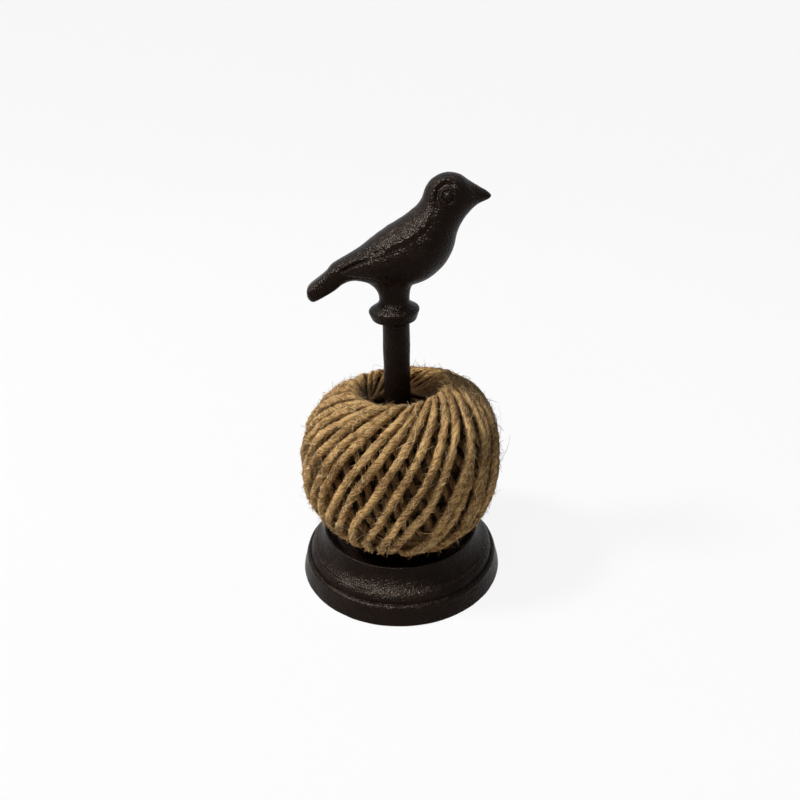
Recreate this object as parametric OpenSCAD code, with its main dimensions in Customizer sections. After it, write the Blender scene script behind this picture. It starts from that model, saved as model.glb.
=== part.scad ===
// Twine holder: a round cast foot with a dished top, an upright post that a ball of
// twine turns on, and a bird finial that unscrews so that the ball can be changed.
// Millimetres. The foot stands on z = 0, the post rises along Z and the bird looks along +X.

/* [Foot] */
// Diameter of the foot where it meets the ground
foot_d = 95; // [88:0.5:110]
// Height of the plinth, the lowest band of the foot
plinth_h = 9.5; // [7:0.5:11]
// How far the plinth's wall leans in from bottom to top
plinth_lean = 1.8; // [0.5:0.1:3]
// Radius of the plinth's rounded top edge
plinth_edge_r = 1.2; // [0.6:0.1:2]
// Width of the narrow ledge above the plinth
ledge_w = 0.9; // [0.4:0.1:1.5]
// Radius of the convex roll above the ledge
roll_r = 4.8; // [3:0.2:6]
// Wall thickness of the casting
casting_t = 4; // [3:0.25:5]

/* [Dish] */
// Outside diameter of the dish's rim
rim_d = 73; // [68:0.5:76]
// Height of the dish's rim above the ground
rim_h = 23.5; // [22:0.5:28]
// Width of the flat lip round the dish
lip_w = 2.4; // [1.5:0.1:4]
// Depth of the dish below its rim
dish_depth = 5.5; // [4:0.5:6.5]
// How far the dish's wall slopes in from the lip to the floor
dish_slope = 2; // [1:0.25:4]

/* [Boss and bolt] */
// Diameter of the boss under the dish
boss_d = 18; // [16:0.5:22]
// Height of the boss's underside above the ground
boss_lift = 7; // [6.5:0.25:8]
// Diameter of the bolt's shank
bolt_d = 6; // [5:0.5:7]
// Length of the bolt below its head
bolt_l = 25; // [20:1:32]
// Width of the bolt's hexagonal head across its flats
bolt_head_w = 10; // [9:0.5:11]
// Height of the bolt's head
bolt_head_h = 4; // [3:0.25:4.5]
// Diameter of the washer
washer_d = 12; // [11.5:0.25:15]
// Thickness of the washer
washer_t = 1.6; // [1:0.1:2]
// Radial clearance of the bolt in the foot and in its washer
bolt_clearance = 0.3; // [0.2:0.05:0.5]

/* [Post] */
// Diameter of the post
post_d = 11.5; // [10.5:0.1:13]
// Length of the post from the dish's floor to the collar
post_l = 106.3; // [95:0.5:130]
// Radial clearance of a thread in its tapped hole
thread_clearance = 0.05; // [0.02:0.01:0.1]
// Depth of a tapped hole beyond the thread in it
tap_spare = 3; // [2:0.5:5]

/* [Finial] */
// Diameter of the threaded stud between post and finial
stud_d = 6; // [5:0.5:7]
// Length of the stud inside the post
stud_in_post = 6; // [5:0.5:12]
// Length of the stud inside the finial
stud_in_finial = 12; // [10:0.5:14]
// Diameter of the collar under the bird
collar_d = 21.2; // [18:0.2:24]
// Height of the collar from the post's top to the neck
collar_h = 8.2; // [7:0.2:10]
// Radius of the collar's rounded edge
collar_edge_r = 1.4; // [1:0.1:2]
// Diameter of the neck between collar and bird
neck_d = 13.2; // [12:0.2:14]
// Height of the neck from the collar to the bird's belly
neck_h = 7.5; // [6:0.5:10]
// Width of the flare where the neck runs into the belly
flare_w = 2.4; // [1.5:0.1:3]
// Height of that flare
flare_h = 6; // [4:0.5:6]
// Length of the bird from the tip of its tail to the tip of its beak
bird_l = 73.6; // [65:0.2:80]
// Diameter of the bird's eyes
eye_d = 3.2; // [2.4:0.1:4]

/* [Twine] */
// Diameter of the ball of twine
ball_d = 91; // [84:0.5:94]
// Height of the ball of twine, over the turns at its two ends
ball_h = 77.5; // [70:0.5:84]
// How full the ball's shoulders are, where 2 is an ellipse
ball_fullness = 2.3; // [2:0.05:2.5]
// Diameter of the twine
twine_d = 2.8; // [2.2:0.1:3]
// Gap between the two layers of the winding
layer_gap = 0.9; // [0.8:0.05:1.5]
// Gap between the winding and the core, and between the ball and the dish
seat_gap = 0.3; // [0.2:0.05:0.6]
// Diameter of the hole through the ball's core
ball_bore_d = 27; // [24:0.5:28]
// Diameter of the ring on which the winding turns over at the hole
turn_d = 36; // [35:0.5:40]
// Loops of the winding
loops = 24; // [20:1:24]

/* [Hidden] */
$fn = 64;

cast_iron = "#2b211d";
steel = "#8d8f92";
jute = "#b08a58";
jute_dark = "#8a6a40";

// Heights that stack up from the ground
dish_floor = rim_h - dish_depth;
dish_under = dish_floor - casting_t;
post_top = dish_floor + post_l;
belly = post_top + collar_h + neck_h;
ball_mid = dish_floor + seat_gap + ball_h / 2;

// Radii of the foot's profile
plinth_top_r = foot_d / 2 - plinth_lean;
roll_foot_r = plinth_top_r - plinth_edge_r - ledge_w;
rim_r = rim_d / 2;
dish_r = rim_r - lip_w - dish_slope;
cove_r = roll_foot_r - roll_r;

// Points on an elliptical arc about c, with radii rx and ry, from angle a0 to a1
function arc(c, rx, ry, a0, a1, n = 8) =
    [for (i = [0 : n]) let (a = a0 + (a1 - a0) * i / n) [c[0] + rx * cos(a), c[1] + ry * sin(a)]];

// Outer profile of the foot, from the ground to the rim: plinth, ledge, roll and cove
foot_outside = concat(
    [[foot_d / 2, 0]],
    arc([plinth_top_r - plinth_edge_r, plinth_h - plinth_edge_r], plinth_edge_r, plinth_edge_r, 0, 90, 4),
    arc([cove_r, plinth_h], roll_r, roll_r, 0, 90),
    arc([cove_r, rim_h], cove_r - rim_r, rim_h - plinth_h - roll_r, 270, 180));

// The dish, from the lip down to the floor
dish_profile = [[rim_r - lip_w, rim_h], [dish_r, dish_floor], [0, dish_floor]];

// Hollow underside of the foot, from the boss out to the foot's inner edge
hollow_profile = [
    [0, boss_lift],
    [boss_d / 2, boss_lift],
    [boss_d / 2, dish_under],
    [rim_r - casting_t, dish_under],
    [roll_foot_r - casting_t, plinth_h - casting_t / 2],
    [foot_d / 2 - casting_t, 0]];

module base_casting() {
    color(cast_iron)
    difference() {
        rotate_extrude($fn = 128) polygon(concat(foot_outside, dish_profile, hollow_profile));
        cylinder(d = bolt_d + 2 * bolt_clearance, h = rim_h);
    }
}

// Heights of the bolt's and the washer's faces, under the boss
washer_low = boss_lift - washer_t;
bolt_low = washer_low - bolt_head_h;
bolt_top = washer_low + bolt_l;

module base_bolt() {
    head_corner_d = bolt_head_w / cos(30);
    color(steel) {
        translate([0, 0, bolt_low]) cylinder(d = head_corner_d, h = bolt_head_h, $fn = 6);
        translate([0, 0, bolt_low]) cylinder(d = bolt_d, h = bolt_head_h + bolt_l);
    }
}

module base_washer() {
    color(steel)
    translate([0, 0, washer_low])
    difference() {
        cylinder(d = washer_d, h = washer_t);
        translate([0, 0, -washer_t]) cylinder(d = bolt_d + 2 * bolt_clearance, h = 3 * washer_t);
    }
}

// The post stands on the dish's floor and is tapped at both ends
module spindle_post() {
    color(cast_iron)
    difference() {
        translate([0, 0, dish_floor]) cylinder(d = post_d, h = post_l);
        translate([0, 0, dish_floor - tap_spare])
            cylinder(d = bolt_d + 2 * thread_clearance, h = bolt_top - dish_floor + 2 * tap_spare);
        translate([0, 0, post_top - stud_in_post - tap_spare])
            cylinder(d = stud_d + 2 * thread_clearance, h = stud_in_post + 2 * tap_spare);
    }
}

module finial_stud() {
    color(steel)
    translate([0, 0, post_top - stud_in_post]) cylinder(d = stud_d, h = stud_in_post + stud_in_finial);
}

// Collar and neck, turned about the post's axis: bevels above and below a rounded edge,
// then a neck that flares into the belly
neck_top = collar_h + neck_h;
neck_profile = concat(
    [[0, 0], [post_d / 2, 0]],
    arc([collar_d / 2 - collar_edge_r, collar_h / 2], collar_edge_r, collar_edge_r, -60, 60, 6),
    [[neck_d / 2, collar_h]],
    arc([neck_d / 2 + flare_w, neck_top - flare_h], flare_w, flare_h, 180, 90, 6),
    [[neck_d / 2 + flare_w, neck_top + flare_h], [0, neck_top + flare_h]]);

// The bird's body as sections from tail to beak. Each section is an oval that stands between a
// lower point [x, z] and an upper point [x, z], with its half width, measured from the belly.
body_sections = [
    [[-35.6, -5.0], [-36.3, -3.0], 3.0],
    [[-32.6, -5.6], [-35.6, 0.4], 5.8],
    [[-26.5, -2.2], [-30.6, 4.4], 5.6],
    [[-20.8, 1.4], [-26.2, 8.4], 5.4],
    [[-16.5, 2.8], [-22.0, 11.3], 7.0],
    [[-11.0, 2.4], [-15.0, 15.3], 9.4],
    [[-4.0, 0.8], [-8.0, 19.8], 11.4],
    [[5.0, 0.2], [-1.0, 24.8], 12.5],
    [[13.0, 2.6], [5.0, 28.6], 12.7],
    [[19.6, 8.0], [9.0, 31.8], 12.0],
    [[23.4, 14.6], [11.0, 34.6], 10.8],
    [[25.2, 21.6], [11.8, 37.0], 9.4],
    [[27.4, 26.2], [12.8, 39.4], 8.9],
    [[29.8, 29.4], [15.2, 42.4], 8.7],
    [[31.4, 31.0], [20.0, 44.7], 7.9],
    [[32.6, 31.9], [25.2, 44.0], 6.2],
    [[33.8, 32.8], [29.2, 41.3], 4.2],
    [[35.4, 33.9], [33.4, 38.5], 2.3],
    [[37.0, 34.6], [37.3, 35.6], 0.5]];

// A folded wing as flat ovals that lie along the body's side, from its tip to the shoulder:
// lower point, upper point, half thickness and distance from the bird's middle plane
wing_sections = [
    [[-21.4, 5.8], [-21.0, 7.2], 0.5, 6.2],
    [[-14.0, 5.0], [-12.6, 10.4], 1.3, 8.6],
    [[-6.0, 5.2], [-5.2, 15.0], 1.7, 10.7],
    [[2.0, 7.0], [1.2, 20.2], 1.9, 11.9],
    [[8.6, 11.0], [6.2, 24.0], 1.9, 12.1],
    [[13.0, 16.0], [10.2, 25.6], 1.6, 11.8],
    [[14.6, 19.6], [13.6, 23.6], 0.7, 11.5]];

// Where an eye sits on the head: [x, half width there, z]
eye_at = [20.9, 8.1, 35.3];

// How much the bird is scaled from its drawn length, from the tail's upper point to the beak's
bird_scale = bird_l / (body_sections[len(body_sections) - 1][1][0] - body_sections[0][1][0]);

// Points of one oval section, on the middle plane or set off to one side of it
function oval(s, sides, side = 0) =
    let (mid = (s[0] + s[1]) / 2, half = (s[1] - s[0]) / 2, out = side == 0 ? 0 : side * s[3])
    [for (i = [0 : sides - 1])
        let (a = 360 * i / sides, p = mid + half * cos(a))
        [p[0], out + s[2] * sin(a), p[1]]];

// Triangles between rings of points, with both ends closed by fans
function ring_faces(rings, sides) = concat(
    [for (k = [0 : rings - 2], i = [0 : sides - 1])
        let (j = (i + 1) % sides) [k * sides + i, k * sides + j, (k + 1) * sides + j]],
    [for (k = [0 : rings - 2], i = [0 : sides - 1])
        let (j = (i + 1) % sides) [k * sides + i, (k + 1) * sides + j, (k + 1) * sides + i]],
    [for (i = [1 : sides - 2]) [0, i + 1, i]],
    [for (i = [1 : sides - 2], e = [(rings - 1) * sides]) [e, e + i, e + i + 1]]);

module loft(sections, sides, side = 0) {
    points = [for (s = sections) each oval(s, sides, side)];
    polyhedron(points, ring_faces(len(sections), sides));
}

module bird_finial() {
    body_sides = 20;
    wing_sides = 10;
    stud_hole_h = stud_in_finial + tap_spare;
    color(cast_iron)
    difference() {
        union() {
            translate([0, 0, post_top]) rotate_extrude() polygon(neck_profile);
            translate([0, 0, belly]) scale(bird_scale) {
                loft(body_sections, body_sides);
                for (side = [-1, 1]) {
                    loft(wing_sections, wing_sides, side);
                    translate([eye_at[0], side * eye_at[1], eye_at[2]])
                        sphere(d = eye_d / bird_scale, $fn = 24);
                }
            }
        }
        translate([0, 0, post_top - tap_spare])
            cylinder(d = stud_d + 2 * thread_clearance, h = stud_hole_h + tap_spare);
    }
}

// Latitude at which a layer of the ball, depth below the outside, reaches a radius
function latitude(r, depth) = acos(pow(r / (ball_d / 2 - depth), ball_fullness / 2));

// Depths of the centre lines of the winding's two layers
outer_depth = twine_d / 2;
inner_depth = outer_depth + twine_d + layer_gap;
turn_lat_out = latitude(turn_d / 2, outer_depth);
turn_lat_in = latitude(turn_d / 2, inner_depth);

// Half height that the ball's outline would reach if it closed at the poles
ball_power = 2 / ball_fullness;
pole_h = outer_depth + (ball_h / 2 - outer_depth) / pow(sin(turn_lat_out), ball_power);

// A point [radius, height] on the ball at latitude a, on a layer that lies depth below the outside
function ball_point(a, depth) =
    [(ball_d / 2 - depth) * pow(cos(a), ball_power),
     ball_mid + (pole_h - depth) * sign(a) * pow(abs(sin(a)), ball_power)];

// One loop of the winding in the half plane of radius and height: down the inner layer, round the
// turn at the bottom, up the outer layer, round the turn at the top and back to where it began
inner_rings = 8;
turn_rings = 3;
outer_rings = 10;
loop_rings = inner_rings + outer_rings + 2 * turn_rings;

// Points of a half turn from p to q, bulging towards the ball's axis
function half_turn(p, q) =
    let (mid = (p + q) / 2, arm = p - mid, bulge = norm(arm) * [-1, 0])
    [for (i = [1 : turn_rings]) let (a = 180 * i / (turn_rings + 1)) mid + arm * cos(a) + bulge * sin(a)];

inner_down = [for (i = [0 : inner_rings / 2 - 1])
    ball_point(-turn_lat_in * (2 * i + 1) / (inner_rings - 1), inner_depth)];
outer_up = [for (i = [0 : outer_rings - 1])
    ball_point(turn_lat_out * (2 * i / (outer_rings - 1) - 1), outer_depth)];
inner_back = [for (p = inner_down) [p[0], 2 * ball_mid - p[1]]];
inner_back_down = [for (i = [inner_rings / 2 - 1 : -1 : 0]) inner_back[i]];
loop_profile = concat(
    inner_down,
    half_turn(inner_down[len(inner_down) - 1], outer_up[0]),
    outer_up,
    half_turn(outer_up[outer_rings - 1], inner_back_down[0]),
    inner_back_down);

// Longitude gained up to each ring, so that the strand keeps one slope: steps of length over radius
function slope_step(j) =
    let (p = loop_profile[j], q = loop_profile[(j + 1) % loop_rings]) norm(q - p) * 2 / (p[0] + q[0]);
function slope_sums(j = 0, total = 0) =
    j > loop_rings ? [] : concat([total], slope_sums(j + 1, total + slope_step(j % loop_rings)));
slope_sum = slope_sums();

// Each loop advances by a number of strand spacings that shares no factor with the loops, so the
// strands fill the ball evenly before the twine comes back to where it began
loop_skip = 17;
loop_advance = 360 * loop_skip / loops;
function strand_point(k) =
    let (j = k % loop_rings,
         p = loop_profile[j],
         a = loop_advance * (floor(k / loop_rings) + slope_sum[j] / slope_sum[loop_rings]))
    [p[0] * cos(a), p[0] * sin(a), p[1]];
strand = [for (k = [0 : loops * loop_rings - 1]) strand_point(k)];

// How far point p dips below a layer of the ball
function dip(p, depth) =
    let (q = [norm([p[0], p[1]]), p[2] - ball_mid],
         share = pow(q[0] / (ball_d / 2 - depth), ball_fullness)
               + pow(abs(q[1]) / (pole_h - depth), ball_fullness))
    norm(q) * (1 - pow(share, 1 / ball_fullness));

// The core lies clear of the straight stretches between the rings of the inner layer
stretch_dip = max([for (k = [0 : loop_rings - 1]) dip((strand[k] + strand[k + 1]) / 2, inner_depth)]);
core_depth = inner_depth + twine_d / 2 + stretch_dip + seat_gap;

module twine_core() {
    core_steps = 32;
    edge = latitude(ball_bore_d / 2, core_depth);
    color(jute_dark)
    rotate_extrude($fn = 96)
        polygon([for (i = [-core_steps : core_steps]) ball_point(edge * i / core_steps, core_depth)]);
}

function unit(v) = v / norm(v);

// Corners of the twine's six-sided section at ring k
twine_sides = 6;
function strand_ring(k) =
    let (last = len(strand) - 1,
         along = unit(strand[min(k + 1, last)] - strand[max(k - 1, 0)]),
         across = unit(cross(along, strand[k] - [0, 0, ball_mid])),
         out = cross(across, along))
    [for (i = [0 : twine_sides - 1])
        let (a = 360 * i / twine_sides) strand[k] + twine_d / 2 * (across * cos(a) + out * sin(a))];

// Distance from point p to the line between a and b
function line_distance(p, a, b) =
    let (ab = b - a, t = min(1, max(0, (p - a) * ab / (ab * ab)))) norm(p - a - t * ab);

// Least gap between one loop, at points along it, and every stretch of twine that isn't its neighbour
function least_gap() =
    let (first = loop_rings * floor(loops / 2), fine = 5, near = 4)
    min([for (k = [first : first + loop_rings - 1], s = [0 : fine - 1])
        let (p = strand[k] + (strand[k + 1] - strand[k]) * s / fine)
        min([for (m = [0 : len(strand) - 2])
            if (abs(m - k) > near) line_distance(p, strand[m], strand[m + 1])])])
    - twine_d;

module twine_winding() {
    echo(least_gap_of_the_winding = least_gap());
    points = [for (k = [0 : len(strand) - 1]) each strand_ring(k)];
    color(jute) polyhedron(points, ring_faces(len(strand), twine_sides));
}

base_casting();
base_bolt();
base_washer();
spindle_post();
finial_stud();
bird_finial();
twine_core();
twine_winding();
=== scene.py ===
"""Twine holder: the finish of every surface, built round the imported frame.

Shapes are worked out in millimetres and become metres where a mesh is made.
"""

import math

import bpy
import numpy as np
from mathutils import Matrix, Vector, noise


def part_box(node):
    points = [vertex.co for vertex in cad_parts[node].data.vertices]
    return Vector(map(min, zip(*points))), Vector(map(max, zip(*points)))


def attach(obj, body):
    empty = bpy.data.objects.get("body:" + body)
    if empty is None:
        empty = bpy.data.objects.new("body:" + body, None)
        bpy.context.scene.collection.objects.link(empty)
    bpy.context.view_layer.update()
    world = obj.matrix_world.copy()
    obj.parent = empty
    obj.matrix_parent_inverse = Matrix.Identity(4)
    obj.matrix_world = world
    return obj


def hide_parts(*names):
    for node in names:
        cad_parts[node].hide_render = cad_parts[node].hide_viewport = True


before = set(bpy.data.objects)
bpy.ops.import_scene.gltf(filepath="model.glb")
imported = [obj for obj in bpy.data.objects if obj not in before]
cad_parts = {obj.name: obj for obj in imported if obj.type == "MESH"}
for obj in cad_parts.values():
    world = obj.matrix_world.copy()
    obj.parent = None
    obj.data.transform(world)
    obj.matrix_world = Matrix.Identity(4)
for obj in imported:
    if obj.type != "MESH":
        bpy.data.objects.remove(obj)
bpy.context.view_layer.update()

MM = 0.001
chance = np.random.default_rng(41)

# Camera, where the photograph was taken from
PHOTO_PX = 800
FOCAL_PX = 720
SENSOR_MM = 36
CLIP_START = 0.01
CAMERA_AT = Vector((0.99, -284.4, 229.7)) * MM
CAMERA_PITCH = math.radians(26.58)
CAMERA_ROLL = math.radians(1.22)


def make_camera():
    right = Vector((1, 0, 0))
    up = Vector((0, math.sin(CAMERA_PITCH), math.cos(CAMERA_PITCH)))
    rolled_right = right * math.cos(CAMERA_ROLL) - up * math.sin(CAMERA_ROLL)
    rolled_up = right * math.sin(CAMERA_ROLL) + up * math.cos(CAMERA_ROLL)
    turn = Matrix((rolled_right, rolled_up, right.cross(up))).transposed()
    lens = bpy.data.cameras.new("camera")
    lens.sensor_width = SENSOR_MM
    lens.lens = SENSOR_MM * FOCAL_PX / PHOTO_PX
    lens.clip_start = CLIP_START
    camera = bpy.data.objects.new("camera", lens)
    bpy.context.scene.collection.objects.link(camera)
    camera.matrix_world = Matrix.Translation(CAMERA_AT) @ turn.to_4x4()
    bpy.context.scene.camera = camera


make_camera()


# Shapes and meshes
def smoothstep(x, low, high):
    t = np.clip((x - low) / (high - low), 0, 1)
    return t * t * (3 - 2 * t)


def bell(x, width):
    return np.exp(-(x / width) ** 2)


def unit(vectors):
    return vectors / np.linalg.norm(vectors, axis=-1, keepdims=True)


def arc(centre, rx, ry, start, stop, steps=12):
    """Points on an elliptical arc, with its angles in degrees."""
    a = np.radians(np.linspace(start, stop, steps + 1))
    return [(centre[0] + rx * math.cos(b), centre[1] + ry * math.sin(b)) for b in a]


def bow(start, pull, stop, steps=14):
    """Points on a curve from start to stop, drawn towards pull."""
    t = np.linspace(0, 1, steps + 1)[:, None]
    start, pull, stop = (np.asarray(p, float) for p in (start, pull, stop))
    return [tuple(p) for p in (1 - t) ** 2 * start + 2 * t * (1 - t) * pull + t ** 2 * stop]


def evenly(points, step):
    """The same line with points added, so that no two are further apart than step."""
    line = [np.asarray(points[0], float)]
    for point in points[1:]:
        point = np.asarray(point, float)
        count = max(1, math.ceil(np.linalg.norm(point - line[-1]) / step))
        start = line[-1]
        line += [start + (point - start) * (i + 1) / count for i in range(count)]
    return np.array(line)


def curve_through(rows, steps):
    """Catmull-Rom curve through rows of numbers, with steps stretches between neighbours."""
    rows = np.asarray(rows, float)
    rows = np.vstack([2 * rows[0] - rows[1], rows, 2 * rows[-1] - rows[-2]])
    t = np.arange(steps)[:, None] / steps
    line = []
    for a, b, c, d in zip(rows, rows[1:], rows[2:], rows[3:]):
        bend = (2 * a - 5 * b + 4 * c - d) * t ** 2 + (3 * b - a - 3 * c + d) * t ** 3
        line.append(b + ((c - a) * t + bend) / 2)
    return np.vstack(line + [rows[-2:-1]])


def skin_faces(rings, sides, closed):
    """Faces between rings of points, either joined end to end or with both ends capped."""
    k, i = np.meshgrid(np.arange(rings if closed else rings - 1), np.arange(sides), indexing="ij")
    after = (k + 1) % rings * sides
    j = (i + 1) % sides
    corners = [k * sides + i, k * sides + j, after + j, after + i]
    quads = np.stack(corners, axis=-1).reshape(-1, 4).tolist()
    if closed:
        return quads
    last = (rings - 1) * sides
    return quads + [list(range(sides))[::-1], list(range(last, last + sides))]


def mesh_object(name, points, faces, material):
    """A smooth-shaded object from points in millimetres."""
    mesh = bpy.data.meshes.new(name)
    mesh.from_pydata((np.asarray(points) * MM).tolist(), [], faces)
    mesh.polygons.foreach_set("use_smooth", [True] * len(mesh.polygons))
    mesh.materials.append(material)
    mesh.update()
    piece = bpy.data.objects.new(name, mesh)
    bpy.context.scene.collection.objects.link(piece)
    return piece


def skin(name, rings, material, closed=False):
    """An object from rings of points, shaped (rings, sides, 3)."""
    count, sides = rings.shape[:2]
    return mesh_object(name, rings.reshape(-1, 3), skin_faces(count, sides, closed), material)


def lathe_rings(profile, sides):
    """Rings of a profile of [radius, height] turned about Z."""
    a = np.linspace(0, 2 * math.pi, sides, endpoint=False)
    r = profile[:, :1]
    z = np.repeat(profile[:, 1:], sides, axis=1)
    return np.stack([r * np.cos(a), r * np.sin(a), z], axis=-1)


def vertex_data(mesh, kind):
    values = np.empty(len(mesh.vertices) * 3)
    mesh.vertices.foreach_get(kind, values)
    return values.reshape(-1, 3)


def push_out(piece, amounts):
    """Moves each point of a mesh along its normal, by millimetres."""
    mesh = piece.data
    moved = vertex_data(mesh, "co") + vertex_data(mesh, "normal") * amounts[:, None] * MM
    mesh.vertices.foreach_set("co", moved.ravel())
    mesh.update()


def set_attribute(piece, name, values):
    if values.ndim == 1:
        attribute = piece.data.attributes.new(name, "FLOAT", "POINT")
        attribute.data.foreach_set("value", values.astype(np.float32))
    else:
        attribute = piece.data.attributes.new(name, "FLOAT_VECTOR", "POINT")
        attribute.data.foreach_set("vector", values.astype(np.float32).ravel())


# Sand casting leaves waves and grain on the iron
CAST_WAVE = 0.16
CAST_WAVE_L = 9
CAST_GRAIN = 0.045
CAST_GRAIN_L = 1.1


def roughen(piece):
    points = vertex_data(piece.data, "co") / MM
    waves = np.array([noise.noise(p) for p in points / CAST_WAVE_L])
    grain = np.array([noise.noise(p) for p in points / CAST_GRAIN_L])
    push_out(piece, CAST_WAVE * waves + CAST_GRAIN * grain)


def soften(mesh, share, rounds):
    """Draws each point towards the middle of its neighbours, by its own share of the way."""
    edges = np.empty(len(mesh.edges) * 2, np.int32)
    mesh.edges.foreach_get("vertices", edges)
    pairs = edges.reshape(-1, 2)
    ends = np.concatenate([pairs[:, 0], pairs[:, 1]])
    others = np.concatenate([pairs[:, 1], pairs[:, 0]])
    points = vertex_data(mesh, "co")
    neighbours = np.bincount(ends, minlength=len(points))
    for _ in range(rounds):
        sums = [np.bincount(ends, points[others, axis], len(points)) for axis in range(3)]
        points += share[:, None] * (np.stack(sums, axis=1) / neighbours[:, None] - points)
    mesh.vertices.foreach_set("co", points.ravel())
    mesh.update()


# Materials
class Nodes:
    """Makes one material's nodes and joins them."""

    def __init__(self, name):
        self.material = bpy.data.materials.new(name)
        self.material.use_nodes = True
        self.tree = self.material.node_tree
        self.shader = self.tree.nodes["Principled BSDF"]

    def put(self, node, values):
        for key, value in values.items():
            if isinstance(value, bpy.types.NodeSocket):
                self.tree.links.new(value, node.inputs[key])
            else:
                node.inputs[key].default_value = value

    def add(self, kind, values=None, **settings):
        node = self.tree.nodes.new("ShaderNode" + kind)
        for key, value in settings.items():
            setattr(node, key, value)
        self.put(node, values or {})
        return node

    def place(self):
        return self.add("TexCoord").outputs["Object"]

    def noise(self, vector, scale, detail=3, roughness=0.55):
        values = {"Vector": vector, "Scale": scale, "Detail": detail, "Roughness": roughness}
        return self.add("TexNoise", values).outputs["Fac"]

    def ramp(self, value, stops):
        node = self.add("ValToRGB", {"Fac": value})
        elements = node.color_ramp.elements
        while len(elements) < len(stops):
            elements.new(0.5)
        for element, (position, colour) in zip(elements, stops):
            element.position = position
            element.color = (*colour, 1)
        return node.outputs["Color"]

    def spread(self, value, low, high, to_low, to_high):
        values = {"Value": value, "From Min": low, "From Max": high, "To Min": to_low, "To Max": to_high}
        return self.add("MapRange", values).outputs["Result"]

    def math(self, operation, a, b):
        node = self.add("Math", {0: a, 1: b}, operation=operation)
        return node.outputs["Value"]

    def mix(self, share, a, b):
        node = self.add("Mix", data_type="RGBA")
        for socket, value in zip((node.inputs[0], node.inputs[6], node.inputs[7]), (share, a, b)):
            if isinstance(value, bpy.types.NodeSocket):
                self.tree.links.new(value, socket)
            else:
                socket.default_value = value
        return node.outputs[2]

    def bump(self, height, strength, distance, normal=None):
        values = {"Height": height, "Strength": strength, "Distance": distance}
        if normal is not None:
            values["Normal"] = normal
        return self.add("Bump", values).outputs["Normal"]


def cast_iron():
    """Dark brown-black lacquer over sand-cast iron: grainy, softly glossy, thinner on the edges."""
    n = Nodes("cast_iron")
    place = n.place()
    patches = n.noise(place, 90, 4)
    pits = n.noise(place, 480, 1, 0.4)
    grain = n.noise(place, 1600, 0)
    edges = n.add("NewGeometry").outputs["Pointiness"]
    worn = n.spread(edges, 0.52, 0.62, 0, 0.5)
    colour = n.ramp(patches, [(0.3, (0.0050, 0.0026, 0.0019)), (0.72, (0.0105, 0.0056, 0.0040))])
    colour = n.mix(worn, colour, (0.040, 0.025, 0.019, 1))
    rough = n.spread(patches, 0.3, 0.75, 0.27, 0.36)
    bump = n.bump(pits, 0.42, 0.0006)
    bump = n.bump(grain, 0.95, 0.00036, bump)
    n.put(n.shader, {"Base Color": colour, "Roughness": rough, "Normal": bump, "Specular IOR Level": 0.06,
                     "Specular Tint": (1.0, 0.84, 0.70, 1)})
    return n.material


def plated_steel():
    """Zinc-plated steel with fine turning marks and a mottled sheen."""
    n = Nodes("plated_steel")
    place = n.place()
    mottle = n.noise(place, 260, 4)
    drawn_out = n.add("Mapping", {"Vector": place, "Scale": (300, 300, 5200)})
    marks = n.noise(drawn_out.outputs["Vector"], 1, 2)
    colour = n.ramp(mottle, [(0.3, (0.36, 0.36, 0.37)), (0.7, (0.60, 0.60, 0.59))])
    rough = n.spread(mottle, 0.3, 0.7, 0.28, 0.46)
    n.put(n.shader, {"Base Color": colour, "Metallic": 1, "Roughness": rough,
                     "Normal": n.bump(marks, 0.3, 0.00005)})
    return n.material


def jute(name, dark, middle, light, streak=1):
    """Jute fibres: streaks along the twist, lighter and darker stretches, and painted shade and light."""
    n = Nodes(name)
    fibre = n.add("Attribute", attribute_name="fibre").outputs["Vector"]
    tone_and_shading = n.add("Attribute", attribute_name="tone_and_shading").outputs["Fac"]
    streaks = n.noise(fibre, 1.3, 4, 0.7)
    hairs = n.noise(fibre, 4.5, 2)
    value = n.math("ADD", n.math("MULTIPLY", streaks, 0.7), n.math("MULTIPLY", hairs, 0.3))
    # The tone attribute holds random tone together with painted shade and painted light
    value = n.math("ADD", value, n.math("MULTIPLY", tone_and_shading, 0.06))
    colour = n.ramp(value, [(0.415, dark), (0.5, middle), (0.59, light)])
    height = n.math("ADD", streaks, n.math("MULTIPLY", hairs, 0.5))
    n.put(n.shader, {"Base Color": colour, "Roughness": 0.5, "Specular IOR Level": 0.14,
                     "Specular Tint": (1.0, 0.86, 0.62, 1), "Sheen Weight": 0.03,
                     "Normal": n.bump(height, streak, 0.0006)})
    return n.material


IRON = cast_iron()
STEEL = plated_steel()
JUTE = jute("jute_strand", (0.10, 0.048, 0.014), (0.34, 0.185, 0.061), (0.66, 0.42, 0.17))
# A darker copy of the jute, as painted shade on the underlay, the heart and the lining inside the ball
JUTE_SHADED = jute("jute_shaded", (0.035, 0.016, 0.005), (0.12, 0.062, 0.021), (0.24, 0.14, 0.052))
JUTE_HAIR = jute("jute_hair", (0.15, 0.075, 0.022), (0.46, 0.27, 0.095), (0.88, 0.66, 0.36), 0.2)

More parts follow.
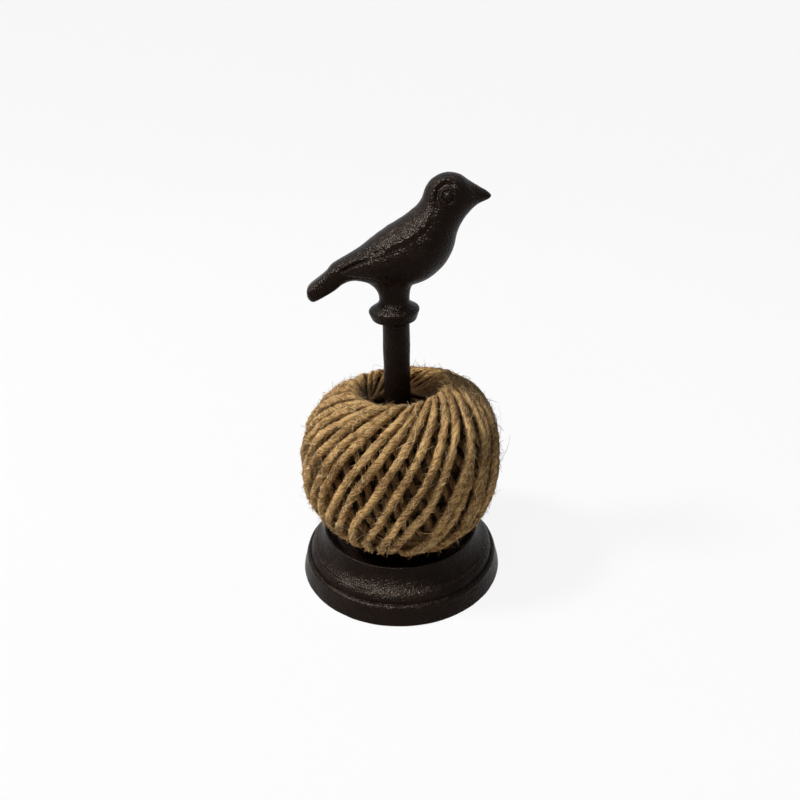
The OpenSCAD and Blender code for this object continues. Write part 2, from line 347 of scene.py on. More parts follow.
# Foot and post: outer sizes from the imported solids, and the sizes between them in millimetres
_, base_high = (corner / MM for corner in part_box("base_casting"))
post_low, post_high = (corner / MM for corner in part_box("spindle_post"))
FOOT_R = base_high.x
RIM_H = base_high.z
POST_R = post_high.x
DISH_FLOOR = post_low.z
POST_TOP = post_high.z
PLINTH_H = 9.5
PLINTH_LEAN = 1.8
PLINTH_EDGE_R = 1.8
GROUND_EDGE = 0.6
GROOVE = 0.25
LEDGE_W = 0.3
ROLL_R = 4.8
ROLL_TURN = 58
RIM_R = 36.5
LIP_W = 1.2
LIP_EDGE_R = 0.5
DISH_SLOPE = 3.2
DISH_FILLET = 2.2
CASTING_T = 4
BOSS_R = 9
BOSS_LIFT = 7
BOLT_HOLE_R = 3.3
FOOT_STEP = 0.7
FOOT_SIDES = 330
POST_EDGE_R = 0.5
POST_STEP = 0.8
POST_SIDES = 64
AXIS_R = 0.05


def foot_profile():
    """The foot's outline: up the outside, over the rim, through the dish and back below."""
    plinth_r = FOOT_R - PLINTH_LEAN - PLINTH_EDGE_R
    roll_foot = plinth_r - LEDGE_W
    cove_r = roll_foot - ROLL_R
    dish_r = RIM_R - LIP_W - DISH_SLOPE
    dish_under = DISH_FLOOR - CASTING_T
    lip_low = RIM_H - LIP_EDGE_R
    roll = arc((cove_r, PLINTH_H), ROLL_R, ROLL_R, 0, ROLL_TURN)
    roll_r, roll_h = roll[-1]
    pull = (RIM_R, roll_h + (roll_r - RIM_R) / math.tan(math.radians(ROLL_TURN)))
    outside = (
        [(FOOT_R - GROUND_EDGE, 0), (FOOT_R, GROUND_EDGE)]
        + arc((plinth_r, PLINTH_H - PLINTH_EDGE_R), PLINTH_EDGE_R, PLINTH_EDGE_R, 0, 90)
        + [(roll_foot + GROOVE, PLINTH_H - GROOVE)]
        + roll
        + bow(roll[-1], pull, (RIM_R, lip_low))
        + arc((RIM_R - LIP_EDGE_R, lip_low), LIP_EDGE_R, LIP_EDGE_R, 10, 90, 5))
    dish = (
        arc((RIM_R - LIP_W + LIP_EDGE_R, lip_low), LIP_EDGE_R, LIP_EDGE_R, 90, 160, 5)
        + arc((dish_r - DISH_FILLET, DISH_FLOOR + DISH_FILLET), DISH_FILLET, DISH_FILLET, -20, -90, 6)
        + [(BOLT_HOLE_R, DISH_FLOOR)])
    below = [
        (BOLT_HOLE_R, BOSS_LIFT),
        (BOSS_R, BOSS_LIFT),
        (BOSS_R, dish_under),
        (RIM_R - CASTING_T, dish_under),
        (roll_foot - CASTING_T, PLINTH_H - CASTING_T / 2),
        (FOOT_R - CASTING_T, 0),
        (FOOT_R - GROUND_EDGE, 0)]
    return evenly(outside + dish + below, FOOT_STEP)[:-1]


def make_foot():
    foot = skin("foot", lathe_rings(foot_profile(), FOOT_SIDES), IRON, closed=True)
    roughen(foot)
    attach(foot, "base")
    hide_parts("base_casting")


def make_post():
    profile = (
        [(AXIS_R, DISH_FLOOR), (POST_R, DISH_FLOOR)]
        + arc((POST_R - POST_EDGE_R, POST_TOP - POST_EDGE_R), POST_EDGE_R, POST_EDGE_R, 0, 90, 5)
        + [(AXIS_R, POST_TOP)])
    post = skin("post", lathe_rings(evenly(profile, POST_STEP), POST_SIDES), IRON)
    roughen(post)
    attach(post, "base")
    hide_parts("spindle_post")


make_foot()
make_post()

# Bird finial. Sections of the body from tail to beak: lower point and upper point [x, z] measured from
# the belly, half width, and how square the section is, where 2 is an oval
NECK_H = 7.5
COLLAR_H = 8.2
COLLAR_R = 10.6
COLLAR_MID = 5.1
COLLAR_EDGE_R = 1.3
COLLAR_LOW_R = 9.2
COLLAR_LOW = 1.2
COLLAR_SHIFT = -0.6
COLLAR_TILT = 0.05
NECK_R = 6.3
FLARE_LOW = -5.5
FLARE_H = 8.7
FLARE_REAR = 11
FLARE_FRONT = 4.5
FLARE_SIDE = 2
BELLY = POST_TOP + COLLAR_H + NECK_H
BODY_SECTIONS = [
    (-35.7, -4.8, -36.2, -2.8, 2.6, 2.6),
    (-33.0, -5.6, -35.5, 0.2, 5.4, 3.2),
    (-26.5, -2.2, -30.6, 4.2, 5.4, 3.4),
    (-23.6, -0.4, -27.9, 6.5, 5.4, 3.2),
    (-20.8, 1.4, -25.6, 9.2, 5.8, 2.5),
    (-16.5, 2.8, -22.0, 11.4, 7.0, 2.2),
    (-11.0, 2.4, -15.0, 15.3, 9.4, 2.0),
    (-4.0, 0.8, -8.0, 19.8, 11.4, 2.0),
    (5.0, 0.2, -1.0, 24.8, 12.5, 2.0),
    (13.0, 2.6, 5.0, 28.6, 12.7, 2.0),
    (19.6, 8.0, 9.0, 31.8, 12.0, 2.0),
    (23.4, 14.6, 11.0, 34.6, 10.8, 2.0),
    (25.2, 21.6, 11.8, 37.0, 9.4, 2.0),
    (27.4, 26.2, 12.8, 39.4, 8.9, 2.0),
    (29.8, 29.4, 15.2, 42.2, 8.7, 2.0),
    (31.4, 31.0, 20.0, 44.2, 7.9, 2.0),
    (32.6, 31.9, 25.2, 43.6, 6.2, 2.0),
    (33.8, 32.5, 29.2, 41.1, 4.4, 2.0),
    (35.6, 33.2, 33.2, 38.7, 3.0, 2.0),
    (37.0, 33.8, 35.8, 37.3, 2.2, 2.0),
    (37.8, 34.5, 37.4, 36.1, 1.3, 2.0),
    (38.2, 35.1, 38.1, 35.6, 0.5, 2.0)]
EYE_X = 20.6
EYE_Z = 36.6
EYE_R = 1.9
LID_R = 2.9
SOCKET_R = 4.2
BROW_R = 5.6
BROW_AT = math.radians(135)
MOUTH_Z = 35.2
MOUTH_X = 27, 34
CASTING_VOXEL = 0.36
BODY_STEPS = 8
BODY_SIDES = 56
COLLAR_SIDES = 96
NECK_SHIFT = 0.2
NECK_SINK = 1
NECK_RISE = 2
EYE_RELIEF = 0.75
LID_RELIEF = 0.35
BROW_RELIEF = 0.6
MOUTH_DEPTH = 0.3
MOUTH_FADE = 2
EYE_UNEVEN = 0.5
EYE_UNEVEN_L = 2.1
SOFT_SHARE = 0.5
SOFT_ROUNDS = 5
NECK_SOFT_ROUNDS = 40
WING_OUTLINE = [
    (-21.6, 7.6), (-15.5, 6.2), (-7, 5.8), (1, 7.2), (8.6, 11.2), (13.4, 16.2), (15.2, 21.2), (13.2, 25),
    (9, 26), (3.4, 22.4), (-4, 17.0), (-12.4, 12.2)]
WING_RELIEF = 0.75
CREASE = [(-23, 7.0), (-21.4, 7.9), (-16, 11.0), (-9, 13.2), (0, 16.4)]
CREASE_DEPTH = 0.85
FEATHERS = [
    [(-22, 6.9), (-16, 7.6), (-9, 8.6), (0, 10.2)],
    [(-20, 5.4), (-14, 5.3), (-7, 5.8), (2, 7.6)]]
FEATHER_DEPTH = 0.3
RIDGE_SLOPE = math.radians(30)
RIDGE = [
    (-16, 13.4), (-7.4, 16.6), (-2.6, 18.3), (2.3, 19.8), (7.1, 22.4), (10.9, 24.9), (13.6, 28.4)]
RIDGE_RELIEF = 0.7
RIDGE_TEETH = 1.3
NOTCH_DEPTH = 0.34
NOTCH_L = 2.7
NOTCH_W = 4.2


def body_rings():
    x0, z0, x1, z1, half_width, square = curve_through(BODY_SECTIONS, BODY_STEPS).T[:, :, None]
    a = np.linspace(0, 2 * math.pi, BODY_SIDES, endpoint=False)
    across = np.abs(np.sin(a)) ** (2 / square) * np.sign(np.sin(a))
    along = np.abs(np.cos(a)) ** (2 / square) * np.sign(np.cos(a))
    x = (x0 + x1) / 2 + (x1 - x0) / 2 * along
    z = (z0 + z1) / 2 + (z1 - z0) / 2 * along
    return np.stack([x, -half_width * across, BELLY + z], axis=-1)


def collar_rings():
    """A lens-shaped collar that leans a little, on a flat seat."""
    profile = (
        [(AXIS_R, 0), (POST_R, 0), (COLLAR_LOW_R, COLLAR_LOW)]
        + arc((COLLAR_R - COLLAR_EDGE_R, COLLAR_MID), COLLAR_EDGE_R, COLLAR_EDGE_R, -35, 50, 6)
        + [(NECK_R + 0.7, COLLAR_H - 0.1), (NECK_R - 0.2, COLLAR_H + 1.5), (AXIS_R, COLLAR_H + 1.5)])
    rings = lathe_rings(np.array(profile), COLLAR_SIDES)
    x, z = rings[..., 0], rings[..., 2]
    rings[..., 2] = z + COLLAR_TILT * x * smoothstep(z, 0, COLLAR_MID)
    return rings + np.array((COLLAR_SHIFT, 0, POST_TOP))


def neck_rings():
    """The neck, which flares into the belly, far back under the tail and a little in front."""
    a = np.linspace(0, 2 * math.pi, COLLAR_SIDES, endpoint=False)
    rise = np.radians(np.linspace(0, 90, 16))[:, None]
    reach = np.where(np.cos(a) < 0, FLARE_REAR, FLARE_FRONT)[None, :]
    x = (NECK_R + reach * (1 - np.cos(rise))) * np.cos(a)
    y = (NECK_R + FLARE_SIDE * (1 - np.cos(rise))) * np.sin(a)
    z = np.repeat(FLARE_LOW + FLARE_H * np.sin(rise), len(a), axis=1)
    rings = np.stack([x, y, z], axis=-1)
    foot, top = rings[:1].copy(), rings[-1:].copy()
    foot[..., 2] = -NECK_H - NECK_SINK
    top[..., 2] += NECK_RISE
    return np.concatenate([foot, rings, top]) + np.array((COLLAR_SHIFT + NECK_SHIFT, 0, BELLY))


def line_sides(points, outline):
    """Distance of each point [x, z] to a closed outline, and whether it lies inside."""
    least = np.full(len(points), 1e9)
    inside = np.zeros(len(points), bool)
    for a, b in zip(outline, np.roll(outline, -1, axis=0)):
        run = b - a
        share = np.clip(((points - a) @ run) / (run @ run), 0, 1)
        least = np.minimum(least, np.linalg.norm(points - a - share[:, None] * run, axis=1))
        crosses = (a[1] > points[:, 1]) != (b[1] > points[:, 1])
        with np.errstate(divide="ignore", invalid="ignore"):
            inside ^= crosses & (points[:, 0] < a[0] + (points[:, 1] - a[1]) * run[0] / run[1])
    return least, inside


def above_line(points, line):
    """How far points lie above a line of [x, z], as seen from the side, square to a gentle slope."""
    x, z = curve_through(line, 6).T
    return 0.9 * (points[:, 2] - np.interp(points[:, 0], x, z))


def wing_relief(points):
    """Height of the folded wings above the sides: a crease over the tip, feather lines and notches."""
    closed = np.vstack([WING_OUTLINE[-2:], WING_OUTLINE, WING_OUTLINE[:2]])
    outline = curve_through(closed, 6)[12:-13]
    x, z = points[:, 0], points[:, 2]
    least, inside = line_sides(points[:, [0, 2]], outline)
    depth = np.where(inside, least, -least)
    raised = WING_RELIEF * smoothstep(depth, -0.5, 0.8) * (1 - smoothstep(x, -9, 4))
    over = above_line(points, CREASE)
    near_tip = smoothstep(x, -22.5, -20.5) * (1 - smoothstep(x, -15, -4))
    crease = CREASE_DEPTH * near_tip * (0.55 * bell(over - 0.9, 0.7) - bell(over, 0.42))
    lines = sum(bell(above_line(points, line), 0.4) for line in FEATHERS)
    feathers = FEATHER_DEPTH * lines * smoothstep(x, -21, -18) * (1 - smoothstep(x, -8, 3))
    along = x * math.cos(RIDGE_SLOPE) + z * math.sin(RIDGE_SLOPE)
    across = z * math.cos(RIDGE_SLOPE) - x * math.sin(RIDGE_SLOPE)
    notches = np.array([noise.noise((a / NOTCH_L, b / NOTCH_W, 3.7)) for a, b in zip(along, across)])
    on_ridge = smoothstep(depth, -1, 2) * smoothstep(x, -16, -10)
    teeth = np.array([noise.noise((a / NOTCH_L, b / (3 * NOTCH_W), 8.1)) for a, b in zip(along, across)])
    over = above_line(points, RIDGE) + RIDGE_TEETH * teeth
    lip = smoothstep(over, -1.8, 0.6) * (1 - smoothstep(over, 1, 8))
    ridge = RIDGE_RELIEF * lip * smoothstep(x, -15, -6) * (1 - smoothstep(x, 12.5, 15.5))
    return raised + crease - feathers + ridge + NOTCH_DEPTH * notches * on_ridge


def face_relief(points):
    """Round eyes with a lid, a hollow under a brow above and behind them, and the line of the mouth."""
    x, y, z = points.T
    uneven = np.array([noise.noise(p) for p in points / EYE_UNEVEN_L])
    r = np.hypot(x - EYE_X, z - EYE_Z) + EYE_UNEVEN * uneven
    brow = smoothstep(np.cos(np.arctan2(z - EYE_Z, x - EYE_X) - BROW_AT), -0.1, 0.7)
    ball = EYE_RELIEF * np.sqrt(np.clip(1 - (r / EYE_R) ** 2, 0, 1))
    lid = LID_RELIEF * bell(r - LID_R, 0.5) - LID_RELIEF * bell(r - EYE_R - 0.2, 0.4)
    hollow = BROW_RELIEF * brow * bell(r - BROW_R, 1) - (0.2 + 0.8 * brow) * bell(r - SOCKET_R, 0.9)
    mouth = -MOUTH_DEPTH * bell(z - MOUTH_Z, 0.3) * smoothstep(x, MOUTH_X[0], MOUTH_X[0] + MOUTH_FADE)
    mouth *= 1 - smoothstep(x, MOUTH_X[1] - MOUTH_FADE, MOUTH_X[1])
    return (ball + lid + hollow) * smoothstep(np.abs(y), 2, 6) + mouth


def make_bird():
    shells = [body_rings(), collar_rings(), neck_rings()]
    points, faces = [], []
    for rings in shells:
        count, sides = rings.shape[:2]
        start = sum(len(p) for p in points)
        faces += [[start + i for i in face] for face in skin_faces(count, sides, False)]
        points.append(rings.reshape(-1, 3))
    rough = mesh_object("bird_shells", np.vstack(points), faces, IRON)
    fuse = rough.modifiers.new("fuse", "REMESH")
    fuse.mode = "VOXEL"
    fuse.voxel_size = CASTING_VOXEL * MM
    fuse.use_smooth_shade = True
    ready = rough.evaluated_get(bpy.context.evaluated_depsgraph_get())
    mesh = bpy.data.meshes.new_from_object(ready)
    bpy.data.objects.remove(rough)
    mesh.name = "bird"
    bird = bpy.data.objects.new("bird", mesh)
    bpy.context.scene.collection.objects.link(bird)
    soften(mesh, np.full(len(mesh.vertices), SOFT_SHARE), SOFT_ROUNDS)
    local = vertex_data(mesh, "co") / MM - (0, 0, BELLY)
    x, _, z = local.T
    round_neck = smoothstep(z, -6, -2) * (1 - smoothstep(z, 5, 9)) * smoothstep(x, -24, -19)
    soften(mesh, SOFT_SHARE * round_neck, NECK_SOFT_ROUNDS)
    above = smoothstep(z, 1, 4)
    push_out(bird, wing_relief(local) * above + face_relief(local))
    roughen(bird)
    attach(bird, "finial")
    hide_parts("bird_finial")


make_bird()

# Ball of twine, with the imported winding's own height
ball_low, ball_high = (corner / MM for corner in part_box("twine_winding"))
BALL_R = 45.5
BALL_MID = (ball_low.z + ball_high.z) / 2
BALL_POLE = 40
BALL_FULLNESS = 2.3
LOW_FULLNESS = 2.18
LOW_SHIFT = 0.9
LOW_SHIFT_H = 5, 30
RAISED_H = -20, 30
LOW_LEAN = 0.42
BALL_LIFT = 0.06
BALL_LIFT_SOFT = 15
BALL_TILT = 0.07
BALL_SHIFT = 1, 2
DIMPLE_TOP = 7
DIMPLE_LOW = 0.6
DIMPLE_R = 13, 23
STRAND_R = 1.62
LAYER_GAP = 0.5
LAYER_DROP = 2 * STRAND_R + LAYER_GAP
PLIES = 3
PLY_PITCH = 12.5
PLY_GROOVE = 0.18
FIBRE_ROUGH = 0.15
FIBRE_DRAW = 0.25
HEART_END = 55
LINING_R = 14.4
HOLE_SLIM = 0.3
HOLE_SLIM_R = 14, 29
# Painted shade: how much darker the twine is painted where it goes down under the outer layer
SHADED = 1.7
# Painted light: the twine is painted lighter towards the top of the ball
TOP_LIGHT = 0.7
# Painted shade: the twine is painted darker on the wall of the hole
HOLE_SHADE = 4
HOLE_SHADE_R = 15, 22.5
TOP_LIGHT_H = 12, 34
SWELL = 0.08, 0.06
LINING_LOW = 9
LINING_HIGH = 14
LINING_GAP = 0.2
LINING_SIDES = 10
LINING_RINGS = 60
HEART_RINGS = 90
HEART_SIDES = 160
# Windings: pieces, loops, loops skipped between neighbours, radius of the turn at the hole and how much it
# varies, depth of the outer layer, rings in a loop and sides of the twine
OUTER = {
    "pieces": 2, "loops": 37, "skip": 5, "turn_r": 14.8, "spread": 0.9, "depth": STRAND_R, "rings": 280,
    "sides": 16}
UNDER = {
    "pieces": 1, "loops": 29, "skip": 4, "turn_r": 18, "spread": 1.2, "depth": STRAND_R + 2 * LAYER_DROP,
    "rings": 150, "sides": 10}


def ball_shift(z):
    """How far the ball leans aside and back, at a height above its middle."""
    raised = smoothstep(z, *RAISED_H)
    aside = BALL_SHIFT[0] * raised + LOW_SHIFT * smoothstep(-z, *LOW_SHIFT_H)
    return aside, BALL_SHIFT[1] * raised


def ball_place(latitude, longitude, depth):
    """Points on a layer of the ball, depth below its outside, with one shoulder higher than the other."""
    c, s = np.cos(latitude), np.sin(latitude)
    power = np.where(s < 0, LOW_FULLNESS, BALL_FULLNESS)
    reach = ((c / (BALL_R - depth)) ** power + (np.abs(s) / (BALL_POLE - depth)) ** power) ** (-1 / power)
    r, z = reach * c, reach * s
    z = z - np.where(z > 0, DIMPLE_TOP, -DIMPLE_LOW) * (1 - smoothstep(r, *DIMPLE_R))
    x, y = r * np.cos(longitude), r * np.sin(longitude)
    lift = BALL_LIFT * (x + np.sqrt(x ** 2 + BALL_LIFT_SOFT ** 2)) - BALL_TILT * y
    aside, back = ball_shift(z)
    height = BALL_MID + z + lift * smoothstep(z, *RAISED_H)
    return np.stack([x + aside, y + back, height], axis=-1)


def wander(t, size, rates=(0.31, 0.77, 1.43, 2.21)):
    """A smooth random wave along the twine, with its rates counted per loop."""
    phases = chance.uniform(0, 2 * math.pi, len(rates))
    waves = [np.sin(2 * math.pi * rate * t + phase) for rate, phase in zip(rates, phases)]
    return size * sum(waves) / math.sqrt(len(rates) / 2)


def drift(place, u, size):
    """A slow random wave over the ball, alike for stretches of twine that lie side by side."""
    rates = ((1, 1), (2, 1), (3, 2), (4, 1))
    phases = chance.uniform(0, 2 * math.pi, len(rates))
    waves = [np.sin(m * place + n * u + phase) for (m, n), phase in zip(rates, phases)]
    return size * sum(waves) / math.sqrt(len(rates) / 2)


def strand_line(winding):
    """The twine's path: on one half of each loop up the outer layer, on the other down the one below."""
    loops = winding["loops"]
    t = np.linspace(0, loops, loops * winding["rings"])
    u = 2 * math.pi * t
    place = 2 * math.pi * winding["skip"] / loops * t
    table = np.radians(np.linspace(89, 0, 400))
    quarter = np.full(len(table), math.pi / 2)
    far, near = (ball_place(table, side, winding["depth"]) for side in (quarter, -quarter))
    table_r = np.linalg.norm(far - near, axis=1) / 2
    turn_r = winding["turn_r"] + drift(place, u, winding["spread"]) + wander(t, winding["spread"] / 2)
    steep = np.interp(turn_r, table_r, table)
    latitude = np.arcsin(np.sin(steep) * np.sin(u))
    longitude = place + np.unwrap(np.arctan2(np.cos(steep) * np.sin(u), np.cos(u)))
    longitude = longitude + np.radians(drift(place, u, 2.4) + wander(t, 1) + wander(t, 0.4, (7.3, 11.9)))
    longitude = longitude + LOW_LEAN * np.clip(-latitude, 0, None) ** 3
    below = 1 - smoothstep(np.cos(u), 0, 0.45)
    depth = winding["depth"] + below * LAYER_DROP + wander(t, 0.3) + wander(t, 0.12, (6.1, 9.7))
    return t, below, ball_place(latitude, longitude, depth)


def twine_frame(line, centre):
    """Directions along the twine, across it and out from the ball, at each point."""
    along = unit(np.gradient(line, axis=0))
    out = line - centre
    out = unit(out - along * (out * along).sum(axis=1, keepdims=True))
    return along, np.cross(out, along), out


def twine_radius(line):
    """The twine's radius along its path: it is pressed together where it crowds round the hole."""
    r = np.hypot(line[:, 0], line[:, 1])
    return STRAND_R * (1 - HOLE_SLIM * (1 - smoothstep(r, *HOLE_SLIM_R)))


def twine_rings(line, centre, sides):
    """Rings of a twine of three plies, with the place of each point along and round the twisted fibres."""
    along, across, out = twine_frame(line, centre)
    run = np.concatenate([[0], np.cumsum(np.linalg.norm(np.diff(line, axis=0), axis=1))])
    angle = np.linspace(0, 2 * math.pi, sides, endpoint=False)[None, :]
    twist = 2 * math.pi * run / PLY_PITCH + 0.7 * np.sin(run / 9.7) + 0.5 * np.sin(run / 4.3)
    twisted = angle - twist[:, None]
    ply = np.abs(np.cos(PLIES / 2 * twisted)) ** 0.7
    swell = 1 + SWELL[0] * np.sin(run / 7.1 + np.sin(run / 23)) + SWELL[1] * np.sin(run / 3.3)
    lumps = chance.normal(0, FIBRE_ROUGH, (len(run), sides))
    lumps[1:-1] = (lumps[:-2] + 2 * lumps[1:-1] + lumps[2:]) / 3
    radius = (1 - PLY_GROOVE + PLY_GROOVE * ply + lumps) * (swell * twine_radius(line))[:, None]
    offset = across[:, None] * np.cos(angle)[..., None] + out[:, None] * np.sin(angle)[..., None]
    rings = line[:, None] + radius[..., None] * offset
    drawn_out = np.repeat(run[:, None] * FIBRE_DRAW, sides, axis=1)
    fibre = np.stack([np.cos(twisted) * STRAND_R, np.sin(twisted) * STRAND_R, drawn_out], axis=-1)
    return rings, fibre


def hole_shade(line):
    """Painted shade: how much darker the twine is painted on the wall of the hole."""
    r = np.hypot(line[:, 0] - BALL_SHIFT[0], line[:, 1] - BALL_SHIFT[1])
    return HOLE_SHADE * (1 - smoothstep(r, *HOLE_SHADE_R))


def dress_twine(piece, fibre, tone_and_shading, *nodes):
    set_attribute(piece, "fibre", fibre.reshape(-1, 3))
    set_attribute(piece, "tone_and_shading", tone_and_shading)
    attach(piece, "twine")
    if nodes:
        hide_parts(*nodes)


# Loose fibres lie flatter on the crests of the strands, near the foot and near the hole
CLEAR_OF_FOOT = 2.5
CLEAR_OF_POST = 2
CREST_FLAT = 0.65
CALM_H = 3, 24
CALM_SHARE = 0.25
HOLE_CALM_R = 16, 32
HOLE_CALM = 0.2
FIBRE_SINK = 0.85
FIBRE_TAPER = 0.6
FIBRE_ROOTS = -25, 205
FIBRE_FALL = 0.25
# Kinds of fibre: count, rings, radius, shortest and longest, steepest rise in degrees, curl, and how far
# they lie across the twine
FUZZ = {
    "count": 13500, "rings": 3, "radius": 0.14, "length": (1, 4.5), "rise": 11, "curl": 0.22, "cross": 1.1}
HAIRS = {
    "count": 4400, "rings": 6, "radius": 0.14, "length": (2.5, 8), "rise": 6, "curl": 0.16, "cross": 0.8}
STRAYS = {
    "count": 45, "rings": 12, "radius": 0.11, "length": (9, 20), "rise": 9, "curl": 0.12, "cross": 0.8}


def make_fibres(name, kind, line, places, centre):
    """Loose fibres that stand off the strands, clear of the foot and the post."""
    along, across, out = twine_frame(line, centre)
    count, rings = kind["count"], kind["rings"]
    from_hole = smoothstep(np.hypot(line[:, 0], line[:, 1]), *HOLE_CALM_R)
    clear_of_hole = HOLE_CALM + (1 - HOLE_CALM) * from_hole
    at = chance.choice(places, count, p=clear_of_hole[places] / clear_of_hole[places].sum())
    turn = np.radians(chance.uniform(*FIBRE_ROOTS, count))[:, None]
    off = across[at] * np.cos(turn) + out[at] * np.sin(turn)
    shortest, longest = kind["length"]
    length = chance.uniform(0, 1, count) ** 2 * (longest - shortest) + shortest
    calm = CALM_SHARE + (1 - CALM_SHARE) * smoothstep(line[at, 2:] - RIM_H, *CALM_H)
    calm = calm * clear_of_hole[at, None]
    flat = calm * (1 - CREST_FLAT * np.clip(np.sin(turn), 0, 1))
    rise = np.radians(chance.uniform(0.1, 1, count) * kind["rise"])[:, None] * flat
    way = along[at] * np.where(chance.random(count) < 0.5, -1, 1)[:, None]
    way = unit(way + np.cross(way, off) * chance.normal(0, kind["cross"], count)[:, None])
    start = line[at] + off * FIBRE_SINK * twine_radius(line[at])[:, None]
    heading = way * np.cos(rise) + off * np.sin(rise)
    fall = out[at] * (length / (2 * BALL_R) + chance.uniform(0, FIBRE_FALL, count))[:, None]
    curl = unit(chance.normal(0, 1, (count, 3))) * (kind["curl"] * chance.uniform(0, 1, count))[:, None]
    lift = np.clip((curl * out[at]).sum(axis=1, keepdims=True), 0, None)
    curl = (curl - CREST_FLAT * lift * out[at]) * calm
    t = np.linspace(0, 1, rings)[None, :, None]
    wave = np.sin(math.pi * 1.5 * t) * t
    course = heading[:, None] * t - fall[:, None] * t ** 2 + curl[:, None] * wave
    path = start[:, None] + length[:, None, None] * course
    r = np.linalg.norm(path[..., :2], axis=-1)
    low = (path[..., 2] < RIM_H + CLEAR_OF_FOOT).any(axis=1)
    near_post = (r < POST_R + CLEAR_OF_POST).any(axis=1)
    clear = ~(low | near_post)
    path = path[clear]
    kept = len(path)
    tangent = unit(np.gradient(path, axis=1))
    side = unit(np.cross(tangent, (0.31, 0.52, 0.79)))
    up = np.cross(side, tangent)
    thin = kind["radius"] * (1 - FIBRE_TAPER * t) * chance.uniform(0.6, 1.3, kept)[:, None, None]
    angles = np.radians((0, 120, 240))
    tubes = np.stack([path + thin * (up * math.cos(a) + side * math.sin(a)) for a in angles], axis=2)
    one = skin_faces(rings, 3, False)
    size = rings * 3
    faces = [[k * size + i for i in face] for k in range(kept) for face in one]
    fibres = mesh_object(name, tubes.reshape(-1, 3), faces, JUTE_HAIR)
    fibre = np.repeat(chance.uniform(0, 90, (kept, 1, 3)), size, axis=1)
    # Random tone, with painted shade on fibres by the wall of the hole
    tone_and_shading = np.repeat(chance.uniform(-2, 2, kept) - hole_shade(line[at[clear]]), size)
    dress_twine(fibres, fibre, tone_and_shading)


def make_core():
    """The inner layers of the ball, with the hole that the post goes through."""
    latitudes = np.radians(np.linspace(-HEART_END, HEART_END, HEART_RINGS))
    longitudes = np.linspace(0, 2 * math.pi, HEART_SIDES, endpoint=False)
    rings = ball_place(latitudes[:, None], longitudes[None, :], UNDER["depth"] + LAYER_DROP)
    core = skin("twine_heart", rings, JUTE_SHADED, closed=True)
    place = rings.reshape(-1, 3)
    # Painted shade: the heart uses the shaded jute and a low tone
    dress_twine(core, place * (0.9, 0.9, FIBRE_DRAW), np.full(len(place), -1.0), "twine_core")


def make_lining():
    """The coil of twine that lines the hole."""
    low, high = BALL_MID - BALL_POLE + LINING_LOW, BALL_MID + BALL_POLE - LINING_HIGH
    turns = (high - low) / (2 * STRAND_R * (1 - HOLE_SLIM) + LINING_GAP)
    a = np.linspace(0, 2 * math.pi * turns, int(turns * LINING_RINGS))
    z = np.linspace(low, high, len(a))
    aside, back = ball_shift(z - BALL_MID)
    line = np.stack([LINING_R * np.cos(a) + aside, LINING_R * np.sin(a) + back, z], axis=1)
    rings, fibre = twine_rings(line, np.array((0, 0, BALL_MID)), LINING_SIDES)
    lining = skin("twine_lining", rings, JUTE_SHADED)
    # Painted shade: the lining is painted darker all along, and darker still further down from the top of
    # the hole
    tone_and_shading = -1.5 - 3 * smoothstep(high - z, 0, 12)
    dress_twine(lining, fibre, np.repeat(tone_and_shading, LINING_SIDES))


def make_winding(name, winding, material, centre, *nodes):
    """One winding of the twine, in as many pieces as keep each mesh a fair size."""
    t, below, line = strand_line(winding)
    rings, fibre = twine_rings(line, centre, winding["sides"])
    # Random tone, with painted shade where the twine goes below, painted light on the top and painted
    # shade in the hole
    tone_and_shading = wander(t, 0.55, (0.43, 3.1, 9, 17)) - SHADED * below
    tone_and_shading += TOP_LIGHT * smoothstep(line[:, 2] - BALL_MID, *TOP_LIGHT_H)
    tone_and_shading -= hole_shade(line)
    parts = np.array_split(np.arange(len(t)), winding["pieces"])
    for number, part in enumerate(parts, 1):
        upto = min(part[-1] + 2, len(t))
        piece = skin(f"{name}_{number}", rings[part[0]:upto], material)
        tones_and_shading = np.repeat(tone_and_shading[part[0]:upto], winding["sides"])
        dress_twine(piece, fibre[part[0]:upto], tones_and_shading, *nodes)
    return below, line


def make_ball():
    centre = np.array((0, 0, BALL_MID))
    below, line = make_winding("twine_strands", OUTER, JUTE, centre, "twine_winding")
    make_winding("twine_underlay", UNDER, JUTE_SHADED, centre)
    make_core()
    make_lining()
    outer = np.flatnonzero(below < 0.95)
    make_fibres("twine_fuzz_1", FUZZ, line, outer, centre)
    make_fibres("twine_fuzz_2", FUZZ, line, outer, centre)
    make_fibres("twine_hairs", HAIRS, line, outer, centre)
    make_fibres("twine_strays", STRAYS, line, outer, centre)


make_ball()

# Stud, with its thread
THREAD_PITCH = 1
THREAD_DEPTH = 0.55
THREAD_STEPS = 8
STUD_SIDES = 40
STUD_CHAMFER = 0.8


def make_stud():
    """The stud between the post and the finial, with its thread cut round it."""
    low, high = (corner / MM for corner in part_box("finial_stud"))
    stud_r = high.x
    z = np.arange(low.z, high.z + 0.01, THREAD_PITCH / THREAD_STEPS)
    a = np.linspace(0, 2 * math.pi, STUD_SIDES, endpoint=False)
    turn = (z[:, None] / THREAD_PITCH - a[None, :] / (2 * math.pi)) % 1
    flank = np.clip(np.abs(2 * turn - 1) * 1.3 - 0.15, 0, 1)
    end = np.minimum(z - low.z, high.z - z)[:, None]
    radius = np.minimum(stud_r - THREAD_DEPTH * flank, stud_r - STUD_CHAMFER + end)
    height = np.repeat(z[:, None], STUD_SIDES, axis=1)
    rings = np.stack([radius * np.cos(a), radius * np.sin(a), height], axis=-1)
    stud = skin("stud_thread", rings, STEEL)
    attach(stud, "stud")
    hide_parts("finial_stud")


make_stud()

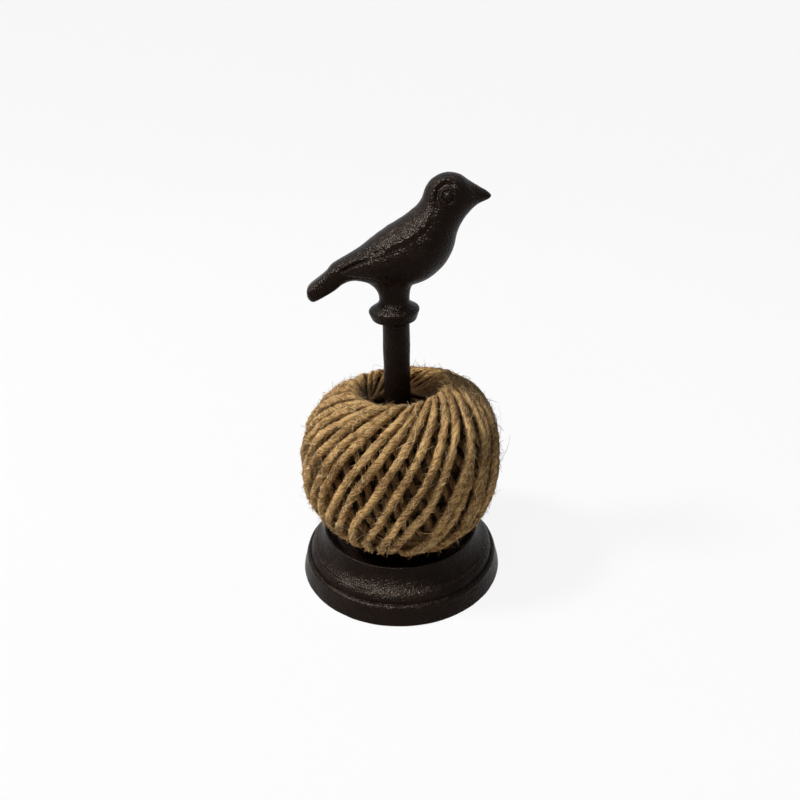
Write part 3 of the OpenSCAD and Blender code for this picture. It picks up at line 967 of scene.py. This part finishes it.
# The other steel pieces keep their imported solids
for node in ("base_bolt", "base_washer"):
    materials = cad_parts[node].data.materials
    materials.clear()
    materials.append(STEEL)

# Floor, light and world, in metres and watts
FLOOR_R = 3.2
FLOOR_WALL = 2.2
FLOOR_SIDES = 96
FLOOR_GLOW = 0.9
WORLD_LEVEL = 0.14
LAMP_AIM = Vector((0, 0, 0.08))


def floor_material():
    """Pale floor that looks white to the camera and in reflections, and keeps the shadow."""
    n = Nodes("pale_floor")
    n.put(n.shader, {"Base Color": (0.8, 0.8, 0.795, 1), "Roughness": 0.9, "Specular IOR Level": 0.1})
    ray = n.add("LightPath").outputs
    seen = n.math("MAXIMUM", n.math("MAXIMUM", ray["Is Camera Ray"], ray["Is Glossy Ray"]),
                  ray["Is Transmission Ray"])
    glow = n.add("Emission", {"Color": (1, 1, 1, 1), "Strength": 1})
    blend = n.add("MixShader", {0: n.math("MULTIPLY", seen, FLOOR_GLOW)})
    n.tree.links.new(n.shader.outputs[0], blend.inputs[1])
    n.tree.links.new(glow.outputs[0], blend.inputs[2])
    n.tree.links.new(blend.outputs[0], n.tree.nodes["Material Output"].inputs["Surface"])
    return n.material


def make_floor():
    flat = FLOOR_R - FLOOR_WALL
    profile = (
        [(FLOOR_R, FLOOR_WALL)]
        + arc((flat, FLOOR_WALL), FLOOR_WALL, FLOOR_WALL, 0, -90, 24)
        + [(0.001, 0)])
    rings = lathe_rings(np.array(profile), FLOOR_SIDES) / MM
    skin("floor", rings, floor_material())


def area_light(name, at, size, watts):
    lamp = bpy.data.lights.new(name, "AREA")
    lamp.shape = "ELLIPSE"
    lamp.size, lamp.size_y = size
    lamp.energy = watts
    light = bpy.data.objects.new(name, lamp)
    bpy.context.scene.collection.objects.link(light)
    light.location = at
    light.rotation_mode = "QUATERNION"
    light.rotation_quaternion = (LAMP_AIM - Vector(at)).to_track_quat("-Z", "Y")
    return light


def make_light():
    """A key lamp, a soft box that only shows as highlights on the iron, and a weak fill without any."""
    area_light("key", (-1.15, -0.2, 1.6), (0.4, 0.3), 38)
    soft_box = area_light("soft_box", (-0.72, -0.66, 1.85), (1.4, 0.6), 165)
    soft_box.visible_diffuse = False
    fill = area_light("fill", (-0.75, -1.35, 0.6), (0.8, 0.8), 5.5)
    fill.visible_glossy = False
    world = bpy.data.worlds.new("world")
    bpy.context.scene.world = world
    world.use_nodes = True
    background = world.node_tree.nodes["Background"]
    background.inputs["Color"].default_value = (1, 1, 1, 1)
    background.inputs["Strength"].default_value = WORLD_LEVEL


make_floor()
make_light()
bpy.context.scene.view_settings.view_transform = "Standard"
